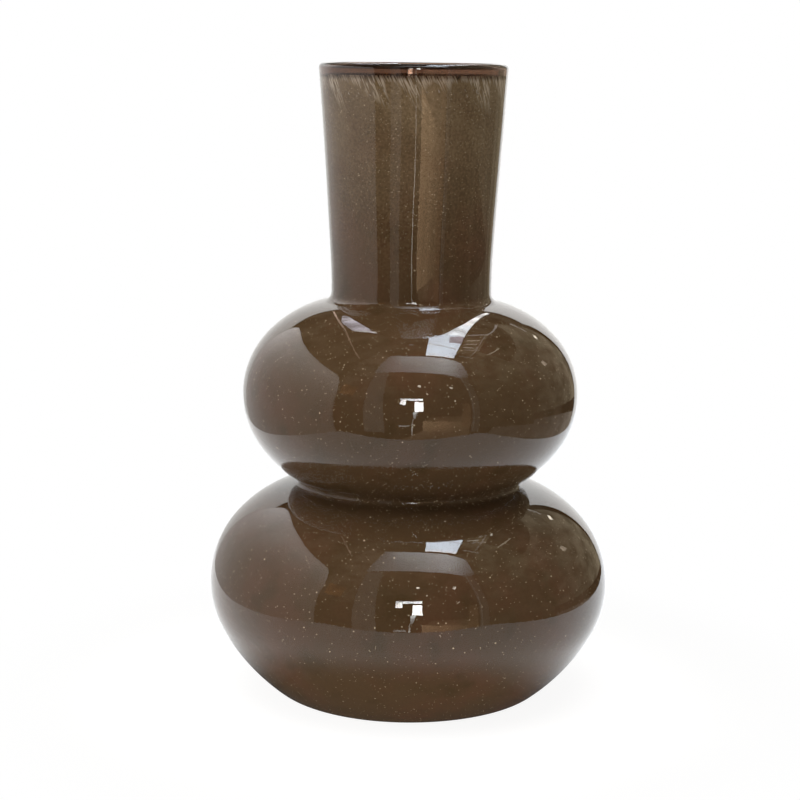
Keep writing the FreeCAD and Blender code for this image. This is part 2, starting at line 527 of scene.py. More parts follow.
def twisted_place(tree, shape):
    """Object coordinates turned about Z in proportion to the depth below the mouth, so that a pattern drawn
    out along Z winds round the neck as the glass was pulled."""
    place = object_place(tree)
    height = height_of(tree, place)
    below = maths(tree, "SUBTRACT", shape.total_height, height)
    turned_by = maths(tree, "MULTIPLY", below, -WIND)
    wound = add(tree, "ShaderNodeVectorRotate", {"Vector": place, "Angle": turned_by}, rotation_type="Z_AXIS")
    return place, height, below, wound.outputs[0]


def glass_material(name, colour, ior, band=None, band_colour=None):
    """Polished glass, of another tint above the height of the band. Light for the colour under it passes
    straight through, so lamps reach it evenly."""
    material, tree = new_material(name)
    surface = principled(tree, {
        "Base Color": rgba(colour), "Roughness": 0.0, "IOR": ior, "Transmission Weight": 1.0})
    if band_colour is not None:
        height = height_of(tree, object_place(tree))
        above = ranged(tree, height, band - LIP_TINT_START, band - LIP_TINT_FULL)
        tree.links.new(blended(tree, above, rgba(colour), rgba(band_colour)), surface.inputs["Base Color"])
    through = rgba([math.sqrt(c) * LIGHT_THROUGH for c in colour])
    clear = add(tree, "ShaderNodeBsdfTransparent", {"Color": through})
    path = add(tree, "ShaderNodeLightPath").outputs
    straight = maths(tree, "MAXIMUM", path["Is Shadow Ray"], path["Is Diffuse Ray"])
    mixed = add(tree, "ShaderNodeMixShader", {0: straight, 1: surface.outputs[0], 2: clear.outputs[0]})
    return finished(material, mixed)


def fused_material():
    """The seam where two layers are melted together. Nothing of it is seen."""
    material, tree = new_material("fused_seam")
    return finished(material, principled(tree, {"Alpha": 0.0, "Specular IOR Level": 0.0}))


def powder_material(shape, look):
    """Powdered colour melted into the glass: soft clouds of three browns that turn golden and grainy towards
    the mouth, with pale streaks where the ragged upper edge was pulled."""
    material, tree = new_material("taupe_powder")
    place, height, below, wound = twisted_place(tree, shape)
    neck_foot = neck_foot_height(shape)

    clouds = soft_clouds(tree, place, CLOUDS, CLOUD_RANGE, detail=4.0, roughness=0.6)
    patches = soft_clouds(tree, place, PATCHES, PATCH_RANGE, (0.0, MOST_PATCH), detail=3.0)
    drifts = soft_clouds(tree, wound, DRIFTS, DRIFT_RANGE, DRIFT_LEVELS, detail=3.0, roughness=0.6)
    grain = noise(tree, place, GRAIN)
    colour = blended(tree, clouds, rgba(look.powder), rgba(look.warm_powder))
    colour = blended(tree, patches, colour, rgba(look.dark_powder))
    golden = ranged(tree, height, *[neck_foot + above for above in GOLDEN_HEIGHTS])
    golden = maths(tree, "MULTIPLY", golden, drifts, clamp=True)
    colour = blended(tree, golden, colour, rgba(look.neck_powder))
    contrast = ranged(tree, height, *[neck_foot + above for above in GRAIN_HEIGHTS], *GRAIN_CONTRAST)
    speckle = ranged(tree, grain, *GRAIN_RANGE, *GRAIN_LEVELS, smooth=False)
    speckle = maths(tree, "ADD", maths(tree, "MULTIPLY", speckle, contrast), 1.0)
    colour = add(tree, "ShaderNodeMix", {0: 1.0, 6: colour, 7: speckle}, data_type="RGBA",
                 blend_type="MULTIPLY").outputs[2]

    strands = noise(tree, vectors(tree, "MULTIPLY", wound, STRANDS), 1.0)
    tufts = noise(tree, vectors(tree, "MULTIPLY", wound, TUFTS), 1.0)
    reach = ranged(tree, tufts, *TUFT_RANGE, *TUFT_REACH)
    under_band = maths(tree, "SUBTRACT", below, shape.bare_band_height)
    fade = maths(tree, "SUBTRACT", 1.0, maths(tree, "DIVIDE", under_band, reach), clamp=True)
    streak = maths(tree, "MULTIPLY", ranged(tree, strands, *STRAND_RANGE), fade)
    colour = blended(tree, maths(tree, "MULTIPLY", streak, MOST_STREAK), colour, rgba(look.streak))
    edge = maths(tree, "DIVIDE", under_band, ranged(tree, tufts, *EDGE_RANGE, *EDGE_DEPTH), clamp=True)
    cover = ranged(tree, maths(tree, "ADD", edge, strands), *COVER_RANGE)
    return finished(material, principled(tree, {
        "Base Color": colour, "Alpha": cover, "Metallic": maths(tree, "MULTIPLY", golden, MOST_METAL),
        "Roughness": 0.42, "Specular IOR Level": 0.0}))


def gold_material(look):
    """Gold leaf melted into glass: half metal, half dull, with a tone that wanders."""
    material, tree = new_material("gold_leaf")
    tone = soft_clouds(tree, object_place(tree), FLAKE_TONE, TONE_RANGE)
    colour = blended(tree, tone, rgba(look.gold), rgba([c * DULL_GOLD for c in look.gold]))
    return finished(material, principled(tree, {"Base Color": colour, "Metallic": 0.5, "Roughness": 0.3}))


def bubble_material(look):
    """A seed bubble's wall, which mirrors the light inside the glass and lets part of it through."""
    material, tree = new_material("seed_bubble")
    cover = soft_clouds(tree, object_place(tree), BUBBLE_TONE, TONE_RANGE, BUBBLE_COVER)
    return finished(material, principled(tree, {
        "Base Color": rgba(look.bubble), "Metallic": 0.6, "Roughness": 0.2, "Alpha": cover}))


# Specks in the casing

# Flakes: their seed and depths, in shares of the way from the outer skin to the colour; how densely they
# lie at the foot, at the neck's foot, this far above it, this far under the bare band, and at the band;
# their turn out of the wall in radians; their radius, its spread and its growth in the lobes; and their
# narrower radius and thickness in shares of it
FLAKE_SEED, FLAKE_DEPTHS = 11, (0.30, 0.88)
FLAKE_DENSITY = (0.28, 0.28, 0.5, 1.2, 0.02)
FLAKE_NECK_RISE, FLAKE_BAND_DROP = 0.03, 0.002
FLAKE_TILT = 0.13
FLAKE_RADIUS, FLAKE_SPREAD, LOBE_FLAKE = 0.000085, 0.42, 1.4
FLAKE_NARROW, FLAKE_THICKNESS = 0.8, 0.05

# Bubbles: their seed and depths; how densely they lie, also on the line this far under the bare band; how
# wide that line and the pull round it are, how far the pull leans, and how much it draws a bubble out
BUBBLE_SEED, BUBBLE_DEPTHS = 29, (0.35, 0.8)
BUBBLE_DENSITY, BUBBLE_LINE_DENSITY = 0.25, 9.0
BUBBLE_LINE_DROP, BUBBLE_LINE_WIDTH, PULL_WIDTH = 0.006, 0.006, 0.009
PULL_LEAN, PULL_STRETCH = 0.42, (1, 7)
BUBBLE_RADIUS, BUBBLE_SPREAD = 0.00010, 0.3

# Corners round a speck, and rows without specks at each end of the outline
SPECK_SIDES = 6
BARE_ROWS = 4


def unit(rows):
    """Each row of an array, scaled to length 1."""
    return rows / np.linalg.norm(rows, axis=1)[:, None]


def strewn(shape, count, seed, weight, depth_low, depth_high):
    """The random numbers, the places strewn in the casing, and at each place the unit vectors outward, along
    the wall to the side and up it.

    A place lies on the line from the outer skin to the colour. Its row is drawn in proportion to the
    row's radius times weight(height), and its angle evenly.
    """
    random = np.random.default_rng(seed)
    outer = followed(skin(shape, 0, 0)[1:], shape.row_length, SMOOTH_ARC)
    inner = followed(casing_skin(shape)[1:], shape.row_length, SMOOTH_ARC)
    rows = min(len(outer), len(inner))
    spread = np.linspace(0, 1, rows)
    outer = np.stack([np.interp(spread, np.linspace(0, 1, len(outer)), outer[:, k]) for k in (0, 1)], axis=1)
    inner_way = nearest(outer, inner)
    chance = outer[:, 0] * weight(outer[:, 1])
    chance[:BARE_ROWS] = chance[-BARE_ROWS:] = 0
    row = random.choice(rows, size=count, p=chance / chance.sum())
    slide = random.random(count)[:, None]
    row_after = np.minimum(row + 1, rows - 1)
    start = outer[row] * (1 - slide) + outer[row_after] * slide
    finish = inner_way[row] * (1 - slide) + inner_way[row_after] * slide
    depth = random.uniform(depth_low, depth_high, count)[:, None]
    flat = start * (1 - depth) + finish * depth
    angle = random.random(count) * 2 * math.pi
    radius = flat[:, 0] + uneven(flat[:, 0], angle, flat[:, 1], shape)
    around = np.stack([np.cos(angle), np.sin(angle), np.zeros(count)], axis=1)
    places = around * radius[:, None] + np.array([0, 0, 1]) * flat[:, 1:]
    out = unit(start - finish)
    outward = around * out[:, :1] + np.array([0, 0, 1]) * out[:, 1:]
    side = np.stack([-np.sin(angle), np.cos(angle), np.zeros(count)], axis=1)
    return random, places, outward, side, np.cross(outward, side)


def nearest(points, others):
    """For each point of a row of points, the nearest of the others."""
    gaps = np.linalg.norm(points[:, None] - others[None], axis=2)
    return others[gaps.argmin(axis=1)]


def copied(name, form, faces, places, first, second, third):
    """Many copies of one small form: each corner (a, b, c) of it goes to its place plus a, b and c times the
    three vectors of that copy."""
    count, size = len(places), len(form)
    corners = (places[:, None] + form[None, :, :1] * first[:, None] + form[None, :, 1:2] * second[:, None]
               + form[None, :, 2:] * third[:, None])
    shifted = faces[None] + (np.arange(count) * size)[:, None, None]
    sizes = np.full(count * len(faces), faces.shape[1])
    return filled_mesh(name, corners.reshape(-1, 3), shifted.ravel(), sizes)


def rim_of_speck(tilt=0.0):
    """Corners on a circle about the third axis, raised by this angle from its plane."""
    angles = np.arange(SPECK_SIDES) * (2 * math.pi / SPECK_SIDES)
    return np.stack([math.cos(tilt) * np.cos(angles), math.cos(tilt) * np.sin(angles),
                     np.full(SPECK_SIDES, math.sin(tilt))], axis=1)


def cap(first, pole, upwards):
    """The triangles between a ring of corners that starts at first and a pole above or below it."""
    here = np.arange(SPECK_SIDES)
    after = (here + 1) % SPECK_SIDES
    pair = (here, after) if upwards else (after, here)
    return np.stack([pair[0] + first, pair[1] + first, np.full(SPECK_SIDES, pole)], axis=1)


def flake_form():
    """A flat flake: corners on a circle, a point above and a point below."""
    form = np.vstack([rim_of_speck(), [[0, 0, 1], [0, 0, -1]]])
    return form, np.vstack([cap(0, SPECK_SIDES, True), cap(0, SPECK_SIDES + 1, False)])


def bead_form():
    """A round bead: rings of corners 45 degrees below its middle, round it and above it, and two poles."""
    tilts = np.radians([-45, 0, 45])
    form = np.vstack([rim_of_speck(tilt) for tilt in tilts] + [[[0, 0, -1], [0, 0, 1]]])
    here = np.arange(SPECK_SIDES)
    after = (here + 1) % SPECK_SIDES
    band = np.vstack([np.stack([here, after, after + SPECK_SIDES], axis=1),
                      np.stack([here, after + SPECK_SIDES, here + SPECK_SIDES], axis=1)])
    last = 2 * SPECK_SIDES
    caps = [cap(0, last + SPECK_SIDES, False), cap(last, last + SPECK_SIDES + 1, True)]
    return form, np.vstack([band, band + SPECK_SIDES] + caps)


# Studio


Card = namedtuple("Card", "name corners colour strength mottle")
Card.__doc__ = "A sheet between four corners, with its colour, its strength and how uneven that is."


def oblong(left, low, right, high):
    """The four corners of an upright rectangle."""
    return [(left, low), (right, low), (right, high), (left, high)]


# What the polished glass mirrors, as cards that only reflections show. The corners are lower left, lower
# right, upper right and upper left. Strength is one number, or one for each corner, and mottle is how far
# clouds change it. The first list gives corners in degrees, seen from the middle of the vase: azimuth from
# the front towards +X, and height above the horizon.
FAR_CARDS = [
    Card("doorway_left", [(-30.5, -22), (-17, -22), (-20, 51), (-31.5, 50)], (1.0, 0.92, 0.86), 0.46, 0.1),
    Card("doorway_right", [(40.5, -22), (46, -22), (45.5, 44), (40, 46)], (1.0, 0.92, 0.80), 0.28, 0.1),
    Card("doorway_line", [(41.2, -20), (41.9, -20), (41.6, 42), (40.8, 42)], (1.0, 0.94, 0.86), 0.7, 0.2),
    Card("inner_wall", [(-17, 34), (38, 34), (39, 50), (-19, 54)],
         (1.0, 0.62, 0.38), (0.05, 0.1, 0.30, 0.26), 0.5),
    Card("window_left", oblong(-7.2, 12.2, -3.5, 19.8), (1.0, 1.0, 0.98), 26.0, 0.6),
    Card("window_bar", oblong(-3.5, 17.2, 7.8, 19.6), (0.95, 1.0, 1.0), 20.0, 0.4),
    Card("window_block", oblong(2.2, 4, 7.8, 15), (1.0, 1.0, 0.97), 24.0, 0.85),
    Card("window_step", [(1.4, -6), (2.4, -6), (4.2, 3.4), (1.2, 3.4)],
         (0.95, 1.0, 1.0), (1.2, 1.2, 9, 9), 0.3),
    Card("floor_gleam", oblong(-8, -14.6, -1.2, -12.9), (1.0, 0.98, 0.94), 2.8, 0.3),
    Card("slot", [(0.2, -40), (1.1, -40), (1.4, -6), (0.4, -6)], (1.0, 0.97, 0.86), 3.6, 0.7),
    Card("lamp_near", oblong(5.0, 33.9, 7.0, 36.1), (1.0, 0.92, 0.74), 14.0, 0.0),
    Card("lamp_side", oblong(28.4, 31.0, 30.2, 33.0), (1.0, 0.92, 0.74), 14.0, 0.0),
    Card("lamp_low", oblong(28.6, 15, 29.8, 16.4), (1.0, 0.88, 0.66), 9.0, 0.0),
    Card("lamp_inner", oblong(10.4, 25, 11.6, 26.4), (1.0, 0.84, 0.60), 7.0, 0.0),
    Card("wood_floor", [(7.6, -20), (40, -21), (35, -9.5), (7.6, -7.5)],
         (1.0, 0.66, 0.38), (1.4, 0.5, 0.8, 2.3), 0.12),
    Card("wood_near", [(-6, -31), (38, -31), (41, -21), (7.6, -20)],
         (1.0, 0.66, 0.42), (0.5, 0.6, 0.5, 0.9), 0.15),
    Card("wood_back", [(9, -7.5), (34, -9.5), (33, -2.5), (13, -2.5)],
         (1.0, 0.66, 0.40), (0.6, 0.7, 0.40, 0.30), 0.3),
    Card("wood_door", [(33, -13), (39.5, -19), (39, 12), (34, 12)],
         (1.0, 0.58, 0.32), (0.8, 0.8, 0.5, 0.3), 0.2),
    Card("palm_wall", [(-53, 14), (-31.5, 14), (-32, 74), (-58, 74)],
         (1.0, 0.76, 0.54), (0.15, 0.22, 0.42, 0.38), 0.8),
    Card("orange_glow", [(-50, 20), (-40, 18), (-38, 29), (-50, 31)], (1.0, 0.42, 0.16), 0.6, 0.7),
    Card("right_wall", [(92, -7.4), (149, -8), (152, 42), (96, 42)],
         (1.0, 0.86, 0.60), (0.22, 0.36, 0.50, 0.42), 0.5),
    Card("right_beams", [(46, 15), (95, 15), (96, 62), (52, 66)],
         (1.0, 0.88, 0.58), (0.16, 0.30, 0.54, 0.44), 0.6),
    Card("right_floor", [(52, -29), (152, -28), (149, -12.4), (58, -13)],
         (1.0, 0.88, 0.74), (0.36, 0.48, 0.42, 0.30), 0.2),
    Card("right_dim", [(46.5, -17), (92, -17), (95, 15), (46, 15)],
         (1.0, 0.84, 0.56), (0.10, 0.14, 0.22, 0.12), 0.5),
    Card("right_corner", [(90, -12.6), (124, -12.6), (124, -7.6), (90, -7.4)],
         (1.0, 0.82, 0.60), (0.14, 0.12, 0.12, 0.08), 0.3),
    Card("beige_wall", [(76, 61.5), (103, 61.5), (106, 69), (74, 69)],
         (1.0, 0.80, 0.46), (0.9, 0.8, 1.1, 1.2), 0.7),
    Card("light_one", [(84, 62.0), (96, 61.6), (96, 62.6), (84, 63.0)], (1.0, 0.94, 0.78), 7.0, 0.0),
    Card("light_two", [(95, 54.6), (113, 50.6), (113, 51.4), (95, 55.6)], (1.0, 0.88, 0.66), 2.8, 0.0),
    Card("light_three", [(115, 58.4), (129, 56.8), (129, 58.0), (115, 59.8)], (1.0, 0.94, 0.78), 8.0, 0.0),
    Card("light_four", [(134, 53), (151, 41), (151.4, 41.8), (134, 54)], (1.0, 0.94, 0.88), 1.6, 0.3),
    Card("light_five", oblong(143.0, 25.2, 146.0, 26.8), (1.0, 0.90, 0.74), 6.0, 0.0),
    Card("light_six", [(118.6, 21), (122.4, 20.4), (122, 24.4), (119, 25)], (1.0, 0.84, 0.64), 1.8, 0.6),
    Card("light_seven", [(147, 29), (153, 33), (152.4, 34.4), (146.4, 30)], (1.0, 0.92, 0.82), 1.6, 0.4),
]

# The second list gives corners on the ceiling, in shares of its height above the middle of the vase.
CEILING_CARDS = [
    Card("skylight", [(0.12, -0.226), (0.37, -0.226), (0.35, 0.26), (0.115, 0.26)],
         (0.78, 0.88, 1.0), (14, 15, 11, 11), 0.12),
    Card("skylight_edge", oblong(0.118, -0.240, 0.37, -0.226), (1.0, 1.0, 1.0), 15.0, 0.0),
    Card("skylight_bar", [(0.12, 0.0), (0.37, -0.05), (0.37, -0.035), (0.12, 0.015)],
         (0.90, 0.95, 1.0), 7.0, 0.0),
    Card("skylight_blind", [(0.262, 0.08), (0.36, 0.10), (0.345, 0.29), (0.255, 0.21)],
         (0.86, 0.80, 0.92), 5.0, 0.25),
    Card("skylight_back", [(0.19, 0.26), (0.35, 0.26), (0.352, 0.62), (0.262, 0.62)],
         (0.90, 0.95, 1.0), (13, 12, 9, 11), 0.4),
    Card("skylight_far", [(0.262, 0.62), (0.352, 0.62), (0.37, 1.10), (0.325, 1.05)],
         (1.0, 1.0, 1.0), (9, 7, 5, 7), 0.4),
    Card("skylight_end", [(0.325, 1.05), (0.37, 1.10), (0.42, 1.6), (0.385, 1.6)],
         (1.0, 1.0, 1.0), 4.0, 0.4),
    Card("frame", [(0.38, -0.17), (0.56, -0.17), (0.52, 0.46), (0.36, 0.30)], (1.0, 0.80, 0.52), 0.55, 0.9),
    Card("frame_near", [(0.40, -0.165), (0.555, -0.17), (0.555, -0.155), (0.40, -0.150)],
         (1.0, 0.94, 0.84), 2.2, 0.2),
    Card("frame_middle", [(0.41, -0.02), (0.545, 0.055), (0.545, 0.070), (0.41, -0.005)],
         (1.0, 0.94, 0.84), 1.8, 0.3),
    Card("frame_far", [(0.36, 0.30), (0.51, 0.46), (0.51, 0.485), (0.36, 0.325)],
         (1.0, 0.96, 0.90), 2.6, 0.3),
    Card("frame_side", [(0.505, -0.15), (0.515, -0.15), (0.50, 0.44), (0.49, 0.44)],
         (1.0, 0.92, 0.80), 1.6, 0.5),
    Card("slat_one", [(0.385, 0.02), (0.47, 0.06), (0.47, 0.085), (0.385, 0.04)],
         (1.0, 0.94, 0.80), 3.4, 0.3),
    Card("slat_two", [(0.385, 0.10), (0.48, 0.15), (0.48, 0.175), (0.385, 0.12)],
         (1.0, 0.92, 0.76), 3.0, 0.4),
    Card("slat_three", [(0.38, 0.18), (0.47, 0.24), (0.47, 0.265), (0.38, 0.20)],
         (1.0, 0.90, 0.70), 2.6, 0.5),
    Card("left_light", [(-0.355, 0.42), (-0.235, 0.31), (-0.268, 0.75), (-0.385, 0.74)],
         (0.88, 0.86, 1.0), (4.0, 5.5, 3.4, 2.6), 0.5),
    Card("left_light_far", [(-0.385, 0.74), (-0.268, 0.75), (-0.300, 1.05), (-0.350, 1.10)],
         (0.92, 0.90, 1.0), (2.6, 4.0, 4.0, 2.0), 0.7),
    Card("left_light_edge", [(-0.345, 0.385), (-0.19, 0.243), (-0.19, 0.268), (-0.345, 0.415)],
         (1.0, 1.0, 1.0), (5, 9, 9, 5), 0.3),
    Card("rail_back", [(-0.404, 0.44), (-0.392, 0.44), (-0.382, 1.60), (-0.396, 1.60)],
         (1.0, 0.74, 0.60), 2.2, 0.3),
    Card("rail_front", [(-0.462, -0.25), (-0.452, -0.25), (-0.392, 0.44), (-0.404, 0.44)],
         (1.0, 0.70, 0.52), 1.8, 0.3),
    Card("doorway_top_left", [(-0.446, -0.71), (-0.12, -0.715), (-0.08, -0.26), (-0.17, -0.25)],
         (0.97, 0.98, 1.0), (0.8, 1.5, 2.6, 1.1), 0.1),
    Card("doorway_top", [(-0.12, -0.715), (0.36, -0.73), (0.30, -0.27), (-0.08, -0.26)],
         (0.92, 0.97, 1.0), (1.5, 3.2, 5.4, 2.9), 0.08),
    Card("doorway_top_right", [(0.36, -0.73), (0.62, -0.78), (0.47, -0.33), (0.30, -0.27)],
         (0.92, 0.97, 1.0), (3.2, 1.5, 2.4, 5.4), 0.1),
    Card("doorway_corner", [(0.62, -0.78), (0.68, -0.80), (0.77, -0.71), (0.47, -0.33)],
         (0.96, 0.98, 1.0), (1.5, 0.5, 0.5, 2.4), 0.1),
]
CARD_CENTRE = (0.0, 0.0, 0.14)

# Points along both sides of a card, and up and along the larger sheets
CARD_POINTS, SWEEP_POINTS, PANEL_POINTS = 13, (17, 33), (61, 101)
TABLE_POINTS, ROOM_POINTS = (121, 61), (33, 49)

# Distances: of the first far card and from each to the next, of the ceiling and from each card on it to the
# next, and of the room's wall
FAR, FAR_STEP = 5.0, 0.03
CEILING, CEILING_STEP = 1.5, 0.002
ROOM_RADIUS = 7.0

# Tables give places and the value at each. The room: brightness by degrees above the horizon, and its colour
ROOM_LIGHT = ([-90, 15, 40, 90], [0.015, 0.03, 0.14, 0.16])
ROOM_COLOUR, ROOM_MOTTLE = (1.0, 0.80, 0.55), 0.8

# The clouds of the mirrored light, in clouds round the vase, and the values between which they change it
MOTTLE, MOTTLE_RANGE = 6.0, (0.32, 0.68)

# The sweep: its place on Y, its left and right edge, how far the right edge leans in up to this height, its
# foot and height, and its light across and up
SWEEP_BACK, SWEEP_LEFT, SWEEP_RIGHT = 0.9, -0.95, 0.585
SWEEP_LEAN, SWEEP_LEAN_HEIGHT = 0.125, 0.62
SWEEP_FOOT, SWEEP_HEIGHT = -0.36, 1.02
SWEEP_ACROSS = ([-0.9, -0.3, 0.2, 0.6], [0.92, 1.00, 1.28, 1.38])
SWEEP_UP = ([-0.3, 0, 0.15, 0.45, 0.6], [0.92, 1.0, 1.05, 1.18, 1.35])
SWEEP_COLOUR = (1.0, 1.0, 0.985)

# The panel: its place on X, its front and back edge, its foot, its upper edge along Y, its light upwards and
# from its edge inwards, and its green and blue along Y
PANEL_SIDE, PANEL_FRONT, PANEL_BACK, PANEL_FOOT = -0.42, -0.37, 0.63, -0.12
PANEL_TOP = ([-0.37, -0.36, -0.34, -0.31, -0.27, -0.20, -0.07, 0.10, 0.29, 0.43, 0.57, 0.61, 0.63],
             [0.33, 0.395, 0.458, 0.503, 0.520, 0.524, 0.532, 0.553, 0.577, 0.596, 0.600, 0.585, 0.555])
PANEL_UP = ([-0.12, 0.05, 0.20, 0.30, 0.38, 0.46, 0.58], [0.58, 0.70, 0.82, 1.05, 1.4, 1.8, 2.1])
PANEL_INWARDS = ([0.0, 0.008, 0.014], [0.72, 0.80, 1.0])
PANEL_GREEN, PANEL_BLUE = ([-0.37, 0.2], [0.92, 0.98]), ([-0.37, 0.2], [0.86, 0.97])
PANEL_MOTTLE = 0.04

# The table: its front and back edge, half its width, its rounded corners, its depth under the floor, its
# light along Y and its blue along X. Its shade: radius, how much less that is at the right and at the left,
# the width of its soft edge, and the light left in it
TABLE_FRONT, TABLE_BACK, TABLE_HALF, TABLE_CORNER, TABLE_DROP = -0.302, 0.9, 0.287, 0.06, 0.0006
TABLE_ALONG = ([-0.30, -0.16, -0.04, 0.10, 0.25, 1.0], [0.80, 0.84, 1.18, 1.40, 1.50, 1.25])
TABLE_BLUE = ([-0.25, 0.25], [1.01, 1.07])
SHADE_RADIUS, SHADE_RIGHT, SHADE_LEFT, SHADE_EDGE, SHADE_LIGHT = 0.091, 0.030, 0.022, 0.050, 0.04

# The floor: the distances from the axis between which its bounced light dies out, and where its shadow
# starts and how white it is there
BOUNCE_RANGE = (0.075, 0.20)
SHADOW_START, SHADOW_WHITE = 0.05, 0.72
WHITE = (1.0, 1.0, 1.0, 1.0)
BLACK = (0.0, 0.0, 0.0, 1.0)
PALE = (0.92, 0.92, 0.92, 1.0)
SKY = (1.0, 0.985, 0.96, 1.0)
SENSOR_WIDTH = 36.0


def in_direction(azimuth, elevation, distance):
    """The place this far from the middle of the vase, in a direction given in degrees."""
    turned_by, raised_by = np.radians(azimuth), np.radians(elevation)
    flat = np.cos(raised_by) * distance
    height = np.sin(raised_by) * distance
    return np.stack([flat * np.sin(turned_by), -flat * np.cos(turned_by), height], axis=-1)


def stretched(corners, across, up):
    """Between four corners (lower left, lower right, upper right, upper left), the point at each share across
    and up: the sum of the corners, each times the product of its two shares."""
    low = corners[0] * (1 - across) + corners[1] * across
    high = corners[3] * (1 - across) + corners[2] * across
    return low * (1 - up) + high * up


def sheet(places):
    """Corners of the quads between the points of a grid."""
    rows, columns = places.shape[:2]
    here = np.arange(rows - 1)[:, None] * columns + np.arange(columns - 1)
    return np.stack([here, here + 1, here + columns + 1, here + columns], axis=-1).reshape(-1, 4)


def only_mirrored(made):
    """A card is seen in gloss and through glass, and casts neither light nor shadow on anything dull."""
    made.visible_camera = False
    made.visible_diffuse = False
    made.visible_shadow = False
    made.visible_volume_scatter = False


def glowing(name, places, light, mottle, material):
    """A card from a grid of places, with its light (colour times strength) at each of them."""
    faces = sheet(places)
    mesh = filled_mesh(name, places.reshape(-1, 3), faces.ravel(), np.full(len(faces), 4))
    glow = mesh.attributes.new("glow", "FLOAT_COLOR", "POINT")
    values = np.concatenate([light, np.full((*light.shape[:2], 1), mottle)], axis=-1)
    glow.data.foreach_set("color", values.astype(np.float32).ravel())
    only_mirrored(shown(name, mesh, [material]))


def mirrored_light():
    """Glow from the attribute of that name, made uneven by clouds as much as its fourth value says."""
    material, tree = new_material("mirrored_light")
    glow = add(tree, "ShaderNodeAttribute", attribute_name="glow").outputs
    direction = vectors(tree, "NORMALIZE", object_place(tree))
    clouds = soft_clouds(tree, direction, MOTTLE, MOTTLE_RANGE, (-1.0, 1.0), detail=3.0, roughness=0.6)
    uneven_by = maths(tree, "MULTIPLY", clouds, glow["Alpha"])
    strength = maths(tree, "MAXIMUM", maths(tree, "ADD", uneven_by, 1.0), 0.0)
    scaled = add(tree, "ShaderNodeVectorMath", {0: glow["Color"], "Scale": strength}, operation="SCALE")
    light = add(tree, "ShaderNodeEmission", {"Color": scaled.outputs[0]})
    material.cycles.emission_sampling = "NONE"
    return finished(material, light)


def build_cards(material):
    """The cards of both lists."""
    across, up = np.meshgrid(*[np.linspace(0, 1, CARD_POINTS)] * 2)
    across, up = across[..., None], up[..., None]
    for number, card in enumerate(FAR_CARDS + CEILING_CARDS):
        flat = stretched(np.array(card.corners, float), across, up)
        if number < len(FAR_CARDS):
            places = in_direction(flat[..., 0], flat[..., 1], FAR - FAR_STEP * number) + CARD_CENTRE
        else:
            height = np.full(flat.shape[:2], CEILING + CARD_CENTRE[2] - CEILING_STEP * number)
            places = np.stack([flat[..., 0] * CEILING, flat[..., 1] * CEILING, height], axis=-1)
        strengths = np.broadcast_to(np.array(card.strength, float), 4)[:, None]
        light = stretched(strengths, across, up) * np.array(card.colour)
        glowing("card_" + card.name, places, light, card.mottle, material)


def build_sweep(material):
    """The white sweep behind the vase: an upright sheet whose right edge leans in, brighter to the right."""
    share_up = np.linspace(0, 1, SWEEP_POINTS[0])[:, None]
    share_across = np.linspace(0, 1, SWEEP_POINTS[1])[None]
    height = SWEEP_HEIGHT * share_up + SWEEP_FOOT + 0 * share_across
    right = SWEEP_RIGHT - SWEEP_LEAN * np.clip(height / SWEEP_LEAN_HEIGHT, 0, 1)
    across = SWEEP_LEFT + (right - SWEEP_LEFT) * share_across
    places = np.stack([across, np.full(across.shape, SWEEP_BACK), height], axis=-1)
    strength = np.interp(across, *SWEEP_ACROSS) * np.interp(height, *SWEEP_UP)
    glowing("white_sweep", places, strength[..., None] * SWEEP_COLOUR, 0.0, material)


def build_panel(material):
    """The pale panel at the left: a flat sheet whose upper edge rises to the back, brighter at its top."""
    along = np.linspace(PANEL_FRONT, PANEL_BACK, PANEL_POINTS[1])
    top = np.interp(along, *PANEL_TOP)
    share_up = np.linspace(0, 1, PANEL_POINTS[0])[:, None]
    height = PANEL_FOOT * (1 - share_up) + top * share_up
    along = np.broadcast_to(along, height.shape)
    places = np.stack([np.full(height.shape, PANEL_SIDE), along, height], axis=-1)
    to_edge = np.minimum(np.minimum(PANEL_BACK - along, top - height), along - PANEL_FRONT)
    strength = np.interp(height, *PANEL_UP) * np.interp(to_edge, *PANEL_INWARDS)
    green, blue = np.interp(along, *PANEL_GREEN), np.interp(along, *PANEL_BLUE)
    colour = np.stack([np.ones(along.shape), green, blue], axis=-1)
    glowing("card_left_panel", places, strength[..., None] * colour, PANEL_MOTTLE, material)


def build_table(material):
    """The white table as the glass mirrors it: brighter to the back, and dark under the vase, where the light
    doesn't reach. Its front corners are rounded."""
    along = np.linspace(TABLE_FRONT, TABLE_BACK, TABLE_POINTS[0])[:, None]
    corner = np.clip(TABLE_FRONT + TABLE_CORNER - along, 0, TABLE_CORNER)
    half = TABLE_HALF - (TABLE_CORNER - np.sqrt(TABLE_CORNER ** 2 - corner ** 2))
    across = np.linspace(-1, 1, TABLE_POINTS[1])[None] * half
    radius = np.hypot(across, along)
    to_side = across / radius
    reach = radius - SHADE_RADIUS + SHADE_RIGHT * np.maximum(to_side, 0) ** 2
    reach = np.clip((reach + SHADE_LEFT * np.maximum(-to_side, 0) ** 4) / SHADE_EDGE, 0, 1)
    reach = reach ** 2 * (3 - 2 * reach)
    strength = np.interp(along, *TABLE_ALONG) * (SHADE_LIGHT + (1 - SHADE_LIGHT) * reach)
    places = np.stack([across, along + 0 * across, np.full(across.shape, -TABLE_DROP)], axis=-1)
    blue = np.interp(across, *TABLE_BLUE)
    colour = np.stack([np.ones(across.shape), (1 + blue) / 2, blue], axis=-1)
    glowing("white_table", places, strength[..., None] * colour, 0.0, material)


